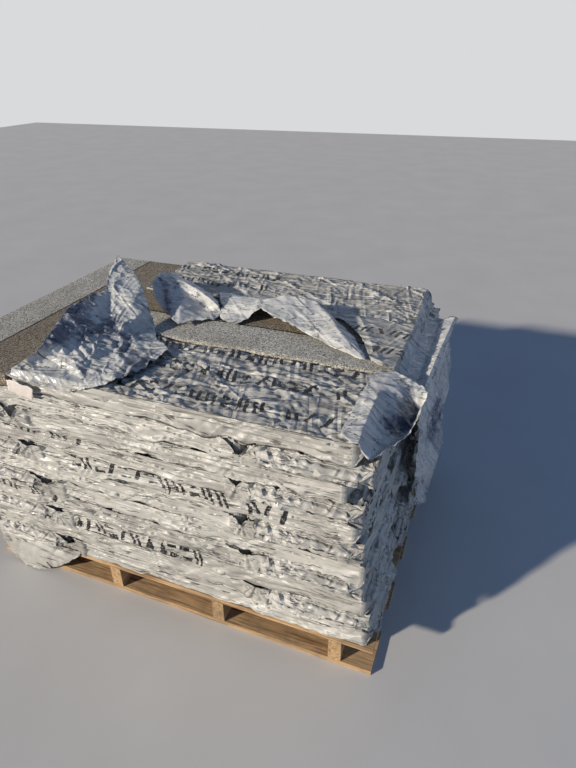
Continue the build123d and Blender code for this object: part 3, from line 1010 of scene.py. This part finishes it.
def film_sheet(name, points, faces, chains, seed, crumple, levels=3, rounding=2,
               material=torn, floor=None, thin=(), print_at=(0.0, 0.0)):
    """A thin crumpled sheet from a few points in millimetres: smoothed, creased, given thickness.

    chains lists rows of points along which it is folded, and thin the points where painted shade
    darkens it to blue and where it crumples more. floor(x, y) is the height that it may not go
    under, and print_at the place where its rows of print start.
    """
    carrier = put_in_scene(name, film_net(name, points, faces, chains, thin))
    for kind, steps in (("CATMULL_CLARK", 1), ("SIMPLE", levels)):
        finer = carrier.modifiers.new(kind, "SUBSURF")
        finer.subdivision_type = kind
        finer.levels = finer.render_levels = steps
        finer.boundary_smooth = "PRESERVE_CORNERS"
    rounder = carrier.modifiers.new("rounder", "SMOOTH")
    rounder.factor = 0.5
    rounder.iterations = rounding
    mesh = evaluated_mesh(carrier, name)
    place = read_values(mesh.vertices, "co", 3).astype(float)
    normal = read_values(mesh.vertex_normals, "vector", 3).astype(float)
    shade_weight = read_values(mesh.attributes["thin"].data, "value")
    place += normal * (film_relief(place, seed, shade_weight) * crumple)[:, None]
    rim = np.zeros(len(place), dtype=bool)
    for (a, b), number in edge_uses(mesh).items():
        if number == 1:
            rim[a] = rim[b] = True
    ragged = joined(*(noise(place, 0.022, seed + 10 + k) for k in range(3)))
    ragged += 0.5 * joined(*(noise(place, 0.009, seed + 13 + k) for k in range(3)))
    place[rim] += ragged[rim] * RIM_RAGGEDNESS
    if floor is not None:
        place[:, 2] = np.maximum(place[:, 2], floor(place[:, 0], place[:, 1]))
    mesh.vertices.foreach_set("co", place.astype(np.float32).ravel())
    mesh.update()
    carrier = put_in_scene(name, mesh)
    wall = carrier.modifiers.new("wall", "SOLIDIFY")
    wall.thickness = FILM_THICKNESS
    wall.offset = 0.0
    mesh = evaluated_mesh(carrier, name)
    corners = read_values(mesh.loops, "vertex_index", kind=np.int32)
    place = read_values(mesh.vertices, "co", 3)[corners]
    uvs = place[:, :2] + (place[:, 2:] - LOAD_TOP) * 0.5 - np.array(print_at)
    dress(mesh, uvs, np.full(len(mesh.vertices), 0.5), material)
    return put_in_scene(name, mesh)


def load_floor(x, y):
    """Height just above the top layer: its wrap, or the bare shingles of the two open bundles."""
    over_middle = (np.abs(y) < BUNDLE_WIDTH / 2) & (x > TOP_START)
    on_left = (x < TOP_START - 0.004) & (x > TOP_START - BUNDLE_WIDTH)
    inside = (y > LOAD_FRONT + 0.004) & (y < LOAD_BACK) & (x < TOP_START + BUNDLE_LENGTH)
    height = np.where(over_middle, LOAD_TOP + FLOOR_OVER_BARE, LOAD_TOP + FLOOR_OVER_WRAP)
    height = np.where(on_left, TOP_FLOOR + 0.041, height)
    return np.where(inside, height, -1.0)


# The crumpled sheet that stands over the left end of the front bundle
tent = {
    "corner": (-411, -511, 783), "b": (-312, -448, 862), "c": (-341, -338, 890), "d": (-353, -270, 901),
    "e": (-350, -165, 904), "f": (-327, -137, 900), "g": (-366, -69, 925), "h": (-379, -25, 940),
    "peak": (-413, 54, 958), "q": (-312, -5, 932), "r": (-250, -56, 903), "s": (-185, -122, 866),
    "t": (-173, -121, 801), "u": (-110, -207, 801), "tip": (-36, -256, 808), "w": (-36, -355, 805),
    "x": (-59, -440, 805), "y": (-84, -483, 805), "z1": (-117, -511, 802), "z2": (-201, -511, 772),
    "z3": (-308, -511, 775), "i1": (-265, -413, 823), "i2": (-258, -338, 843), "i3": (-266, -221, 851),
    "i4": (-221, -151, 884), "i5": (-309, -87, 909), "i6": (-297, -182, 865), "j1": (-295, -398, 857),
    "j2": (-312, -265, 876), "m1": (-191, -456, 812), "m2": (-188, -371, 809), "m3": (-207, -266, 828),
    "m4": (-153, -294, 801),
}
tent_faces = names_in(
    "corner b j1 i1, b c j1, c d j2 j1, j1 j2 i2 i1, d e j2, e f i6 j2, j2 i6 i3 i2, f g i5 i6, "
    "g h i5, h peak q i5, i5 q r i4, i6 i5 i4 i3, i4 r s, i3 i4 s m3, m3 s t, m3 t u, i2 i3 m3 m2, "
    "i1 i2 m2 m1, m2 m3 m4, m3 u tip m4, m4 tip w, m2 m4 w x, m1 m2 x y, m1 y z1, i1 m1 z1 z2, "
    "i1 z2 z3, corner i1 z3"
)
tent_folds = names_in("i1 j1 j2 i6 i5 peak, i2 i3 i4 r, i3 m3 t, i1 m2 m4 tip, m2 m3, corner i1, m1 x")
# Points of the sheet painted dark blue as shade.
tent_painted_shade = "b c d e j1 j2 i2 i3 m3 m4 w x m1".split()
piece = film_sheet(
    "torn_wrap_left", tent, tent_faces, tent_folds, seed=403, crumple=1.25, levels=4, rounding=3,
    floor=load_floor, thin=tent_painted_shade,
)
attach(piece, "torn_film_left")

# The sheet that leans over the back of the bare bundle
leaning = {
    "left_top": (-267, 17, 885), "top1": (-288, 119, 885), "top2": (-186, 94, 874),
    "top3": (-118, 60, 866), "top4": (-63, 45, 845), "top5": (-20, 26, 830), "end": (-15, 37, 810),
    "low1": (-12, -14, 803), "low2": (-62, -60, 810), "low3": (-94, -113, 813),
    "low_mid": (-154, -68, 820), "low_left": (-215, -26, 828), "m1": (-209, 15, 860),
    "m2": (-145, 1, 842), "m3": (-91, 20, 814), "in1": (-268, 78, 880), "in2": (-185, 66, 862),
    "in3": (-132, 52, 842), "in4": (-99, 60, 816), "in5": (-48, 32, 808), "curl1": (-270, 160, 872),
    "curl2": (-165, 125, 858), "curl3": (-100, 95, 845), "curl4": (-45, 70, 826),
    "back": (-340, 180, 835), "foot": (-380, 195, 804),
}
leaning_faces = names_in(
    "left_top top1 in1, in1 top1 top2 in2, in2 top2 top3 in3, in3 top3 top4 in4, in4 top4 top5 in5, "
    "in5 top5 end, in5 end low1, left_top in1 m1 low_left, in1 in2 m1, in2 m2 m1, in2 in3 m2, "
    "in3 in4 m3 m2, in4 in5 m3, m3 in5 low1, low_left m1 low_mid, m1 m2 low_mid, low_mid m2 low3, "
    "m2 m3 low2 low3, m3 low1 low2, top1 curl1 curl2 top2, top2 curl2 curl3 top3, "
    "top3 curl3 curl4 top4, top4 curl4 top5, left_top back curl1 top1, back left_top foot"
)
leaning_folds = names_in("top1 top2 top3 top4 top5, in1 in2 in3 in4")
# The points in thin are painted dark blue as shade.
piece = film_sheet(
    "torn_wrap_middle", leaning, leaning_faces, leaning_folds, seed=421, crumple=0.9,
    floor=load_floor, thin=("in1", "m1", "low_mid", "in4"),
)
attach(piece, "torn_film_middle")

# The arch with its folded strip, and the part of it that lies back on the wrap
arch = {
    "left_end": (-7, -2, 804), "ridge1": (-18, 45, 823), "ridge2": (100, 66, 850), "peak": (183, 98, 872),
    "peak2": (282, 118, 856), "r1": (357, 43, 840), "r2": (423, -44, 825), "knot": (514, -126, 803),
    "b1": (393, -74, 804), "b2": (298, -25, 812), "b3": (234, -6, 826), "b4": (179, 9, 830),
    "open": (129, 28, 845), "b5": (92, 6, 812), "left_tip": (64, -37, 802), "s1": (251, 86, 847),
    "s2": (300, 42, 831), "s3": (383, -46, 819), "v1": (209, 63, 852), "v2": (251, 40, 831),
    "lm": (57, 24, 823), "back_left": (-120, 205, 803), "back_mid": (175, 180, 803),
    "back_right": (365, 100, 803), "back_end": (455, -5, 803),
}
arch_faces = names_in(
    "left_end ridge1 lm, left_end lm left_tip, lm b5 left_tip, ridge1 ridge2 lm, ridge2 open lm, "
    "open b5 lm, ridge2 peak v1 open, open v1 b4, b4 v1 v2 b3, peak peak2 s1 v1, v1 s1 s2 v2, "
    "v2 s2 b2 b3, peak2 r1 s2 s1, s2 r1 r2 s3, s2 s3 b1 b2, s3 r2 knot, s3 knot b1, "
    "ridge1 back_left ridge2, ridge2 back_left back_mid peak, peak back_mid back_right peak2, "
    "peak2 back_right r1, r1 back_right back_end r2, r2 back_end knot"
)
arch_folds = names_in("ridge1 ridge2 peak peak2 r1 r2 knot, v1 b4, s1 v1 v2 b3, s1 s2 s3, open lm")
piece = film_sheet(
    "torn_wrap_arch", arch, arch_faces, arch_folds, seed=441, crumple=0.7, floor=load_floor,
)
attach(piece, "torn_film_arch")

# The loose end past the right end of the front bundle
billow = {
    "back_in": (545, -190, 804), "front_in": (545, -495, 804), "knot": (593, -146, 803),
    "in2": (590, -300, 818), "in3": (590, -415, 815), "in4": (590, -503, 798), "a0": (648, -221, 802),
    "a1": (669, -200, 802), "a2": (704, -223, 795), "a3": (699, -300, 786), "a4": (680, -369, 755),
    "a5": (660, -431, 766), "a6": (618, -511, 765), "m0": (686, -258, 738), "m1": (664, -306, 722),
    "m2": (640, -432, 744), "m3": (618, -345, 756),
}
billow_faces = names_in(
    "back_in knot in2, back_in in2 in3 front_in, front_in in3 in4, knot a1 a0, knot a0 in2, "
    "a0 a1 a2, a0 a2 m0, a2 a3 m0, m0 a3 a4 m1, in2 a0 m0 m3, m3 m0 m1, m1 a4 a5 m2, in2 m3 in3, "
    "m3 m1 m2, in3 m3 m2 in4, in4 m2 a6, m2 a5 a6"
)
billow_folds = names_in("a0 m0 m1 m2, knot m3 m2, knot in2 in3 in4")
# The points in thin, inside the bowl, are painted dark blue as shade.
piece = film_sheet(
    "torn_wrap_right", billow, billow_faces, billow_folds, seed=461, crumple=0.9,
    floor=load_floor, thin=("m0", "m1", "m3", "a0"),
)
attach(piece, "torn_film_right")


# Film over the bare bundle's right end and down the edge
corner = {
    "c1": (378, 120, 804), "c2": (468, 6, 804), "c3": (522, -112, 804), "c4": (560, -140, 804),
    "c5": (596, -140, 802), "c6": (598, 20, 803), "c7": (598, 168, 803), "c8": (450, 170, 804),
    "c9": (215, 175, 804), "c10": (500, 60, 806), "d1": (606, -140, 770), "d2": (608, 20, 765),
    "d3": (606, 168, 768),
}
corner_faces = names_in(
    "c1 c2 c10, c2 c3 c10, c3 c4 c10, c4 c5 c6 c10, c10 c6 c7 c8, c1 c10 c8 c9, c5 d1 d2 c6, "
    "c6 d2 d3 c7"
)
corner_folds = names_in("c3 c10, c5 c6 c7")
piece = film_sheet(
    "torn_wrap_corner", corner, corner_faces, corner_folds, seed=481, crumple=0.7,
    material=wrap_film, floor=load_floor, print_at=(0.36, -0.062),
)
attach(piece)

# The strip folded out along the right edge of the top layer
edge = {
    "e1": (592, -150, 800), "e2": (592, 100, 800), "e3": (592, 360, 800), "f1": (618, -150, 752),
    "f2": (622, 100, 750), "f3": (618, 360, 752), "g1": (652, -150, 748), "g2": (655, 100, 746),
    "g3": (652, 360, 748), "h1": (681, -160, 766), "h2": (690, 90, 768), "h3": (704, 360, 770),
    "k1": (690, -160, 758), "k2": (698, 90, 758), "k3": (712, 360, 760),
}
edge_faces = names_in(
    "e1 f1 f2 e2, e2 f2 f3 e3, f1 g1 g2 f2, f2 g2 g3 f3, g1 h1 h2 g2, g2 h2 h3 g3, h1 k1 k2 h2, "
    "h2 k2 k3 h3"
)
edge_folds = names_in("e1 e2 e3, h1 h2 h3")
piece = film_sheet("torn_wrap_edge", edge, edge_faces, edge_folds, seed=491, crumple=0.9)
attach(piece)

# The tail that hangs down the right side: places (x, z) of its rows, and y of its columns
TAIL_ROWS = ((655, 736), (700, 700), (730, 600), (706, 480), (732, 360), (704, 230))
TAIL_COLUMNS = (-70, 50, 175, 300)
TAIL_ENDS = (270, 190, 330, 230)
TAIL_REACH = 737
draw = np.random.default_rng(521)
tail = {}
for row, (x, z) in enumerate(TAIL_ROWS):
    for column, y in enumerate(TAIL_COLUMNS):
        slack = draw.uniform(-1, 1, 3) * (20 if row > 1 else 0, 14, 12)
        z = TAIL_ENDS[column] if row == 5 else z
        reach = x + slack[0] if column else 662 + row * 6
        tail[row, column] = (min(reach, TAIL_REACH), y + slack[1], z + slack[2] * (row > 0))
tail_faces = [
    ((row, column), (row + 1, column), (row + 1, column + 1), (row, column + 1))
    for row in range(5)
    for column in range(3)
]
tail_folds = [[(row, column) for column in range(4)] for row in (2, 4)]
tail_folds += [[(2, 1), (3, 2), (4, 2), (5, 3)]]
# Points of the tail painted dark blue as shade.
tail_painted_shade = [(1, 0), (2, 1), (3, 1), (3, 2), (4, 0), (5, 1)]
piece = film_sheet(
    "torn_wrap_side", tail, tail_faces, tail_folds, seed=521, crumple=1.1, thin=tail_painted_shade,
)
attach(piece)


# Torn film that hangs over the pallet at the front left
skirt = {
    "t0": (-665, -511, 128), "t1": (-560, -513, 132), "t2": (-450, -513, 130), "t3": (-350, -512, 130),
    "t4": (-310, -510, 125), "m0": (-655, -518, 85), "m1": (-560, -530, 75), "m2": (-460, -528, 75),
    "m3": (-380, -518, 95), "b0": (-638, -520, 44), "b1": (-605, -528, 12), "b2": (-560, -540, 4),
    "b3": (-515, -541, 4), "b4": (-470, -534, 10), "b5": (-420, -525, 28), "b6": (-367, -518, 70),
    "b7": (-325, -512, 105),
}
skirt_faces = names_in(
    "t0 m0 m1 t1, t1 m1 m2 t2, t2 m2 m3 t3, t3 m3 b6 b7, t3 b7 t4, m0 b0 b1 m1, m1 b1 b2, "
    "m1 b2 b3 m2, m2 b3 b4 b5, m2 b5 b6 m3"
)
skirt_folds = names_in("t1 m1 b2, m2 b4, m0 m1 m2 m3")
piece = film_sheet(
    "torn_wrap_skirt", skirt, skirt_faces, skirt_folds, seed=501, crumple=0.8, rounding=1,
    material=wrap_film, print_at=(-0.5, 0.13),
)
attach(piece)


# A blank label on the left end of the front bundle
label = {
    "a": (-402, -516, 776), "b": (-312, -517, 760), "c": (-322, -518, 724), "d": (-406, -517, 738),
}
piece = film_sheet(
    "paper_label", label, names_in("a d c b"), (), seed=511, crumple=0.25, rounding=1, material=paper,
)
attach(piece)


# Finishes of the solids that stay

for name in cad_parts:
    wood = wood_x if name.startswith(("top_board", "bottom_board")) else wood_y
    if name.startswith(("top_board", "bottom_board", "stringer")):
        solid = bpy.data.objects[name]
        solid.data.materials.clear()
        solid.data.materials.append(wood)


# Floor, light and camera


def add_stage():
    """A plain pale floor."""
    mesh = bpy.data.meshes.new("floor")
    corners = [(-12, -12, 0), (12, -12, 0), (12, 12, 0), (-12, 12, 0)]
    mesh.from_pydata(corners, [], [(0, 1, 2, 3)])
    floor = put_in_scene("floor", mesh)
    material, tree = new_material("pale_floor")
    node = partial(add, tree)
    place = node("TexCoord", output="Object")
    tone = node("TexNoise", {"Vector": place, "Scale": every(400), "Detail": 3.0})
    tone = node("ValToRGB", [tone], stops=[(0.3, "CBC9C5"), (0.7, "D1CFCB")])
    close_material(tree, Base_Color=tone, Roughness=0.9)
    mesh.materials.append(material)


def add_light(name, place, target, size, power, colour):
    """A soft area light that faces its target."""
    lamp = bpy.data.lights.new(name, "AREA")
    lamp.shape = "DISK"
    lamp.size = size
    lamp.energy = power
    lamp.color = colour
    light = put_in_scene(name, lamp)
    light.location = place
    direction = Vector(target) - Vector(place)
    light.rotation_euler = direction.to_track_quat("-Z", "Y").to_euler()


def add_sun(name, source, power, softness, colour):
    """The key light: even, from one side, as a large lamp far away gives it."""
    lamp = bpy.data.lights.new(name, "SUN")
    lamp.energy = power
    lamp.angle = math.radians(softness)
    lamp.color = colour
    light = put_in_scene(name, lamp)
    light.rotation_euler = Vector(source).to_track_quat("Z", "Y").to_euler()


def add_world():
    """Soft bluish light from all round; the camera and reflections see a pale backdrop."""
    world = bpy.data.worlds.new("studio")
    world.use_nodes = True
    tree = world.node_tree
    tree.nodes.clear()
    node = partial(add, tree)
    soft = node("Background", {"Color": (0.24, 0.47, 1.0, 1), "Strength": 0.20})
    pale = node("Background", {"Color": linear("D9DADB"), "Strength": 1.0})
    seen = node("LightPath", output="Is Camera Ray")
    for kind in ("Is Glossy Ray", "Is Transmission Ray"):
        seen = node("Math.MAXIMUM", [seen, node("LightPath", output=kind)])
    both = node("MixShader", {0: seen, 1: soft, 2: pale})
    end = tree.nodes.new("ShaderNodeOutputWorld")
    tree.links.new(both, end.inputs["Surface"])
    bpy.context.scene.world = world


def add_camera():
    """The photograph's viewpoint."""
    data = bpy.data.cameras.new("camera")
    data.sensor_fit = "HORIZONTAL"
    data.sensor_width = 36.0
    data.lens = FOCAL_PIXELS / PICTURE_WIDTH * data.sensor_width
    data.clip_end = 60
    camera = put_in_scene("camera", data)
    level = Vector((-math.sin(CAMERA_YAW), math.cos(CAMERA_YAW), 0)) * math.cos(CAMERA_PITCH)
    ahead = level - Vector((0, 0, math.sin(CAMERA_PITCH)))
    right = Vector((math.cos(CAMERA_YAW), math.sin(CAMERA_YAW), 0))
    up = right.cross(ahead)
    turned_right = right * math.cos(CAMERA_ROLL) + up * math.sin(CAMERA_ROLL)
    turned_up = up * math.cos(CAMERA_ROLL) - right * math.sin(CAMERA_ROLL)
    pose = Matrix((turned_right, turned_up, -ahead)).transposed().to_4x4()
    pose.translation = Vector(CAMERA_PLACE)
    camera.matrix_world = pose
    bpy.context.scene.camera = camera


add_stage()
add_sun("key", (-0.604, -0.720, 0.342), 4.1, 2.2, (1.0, 0.91, 0.78))
add_light("sky", (4.2, -1.1, 1.7), (0.2, 0, 0.5), 2.4, 15, (0.46, 0.68, 1.0))
add_world()
bpy.context.scene.view_settings.view_transform = "Standard"
add_camera()
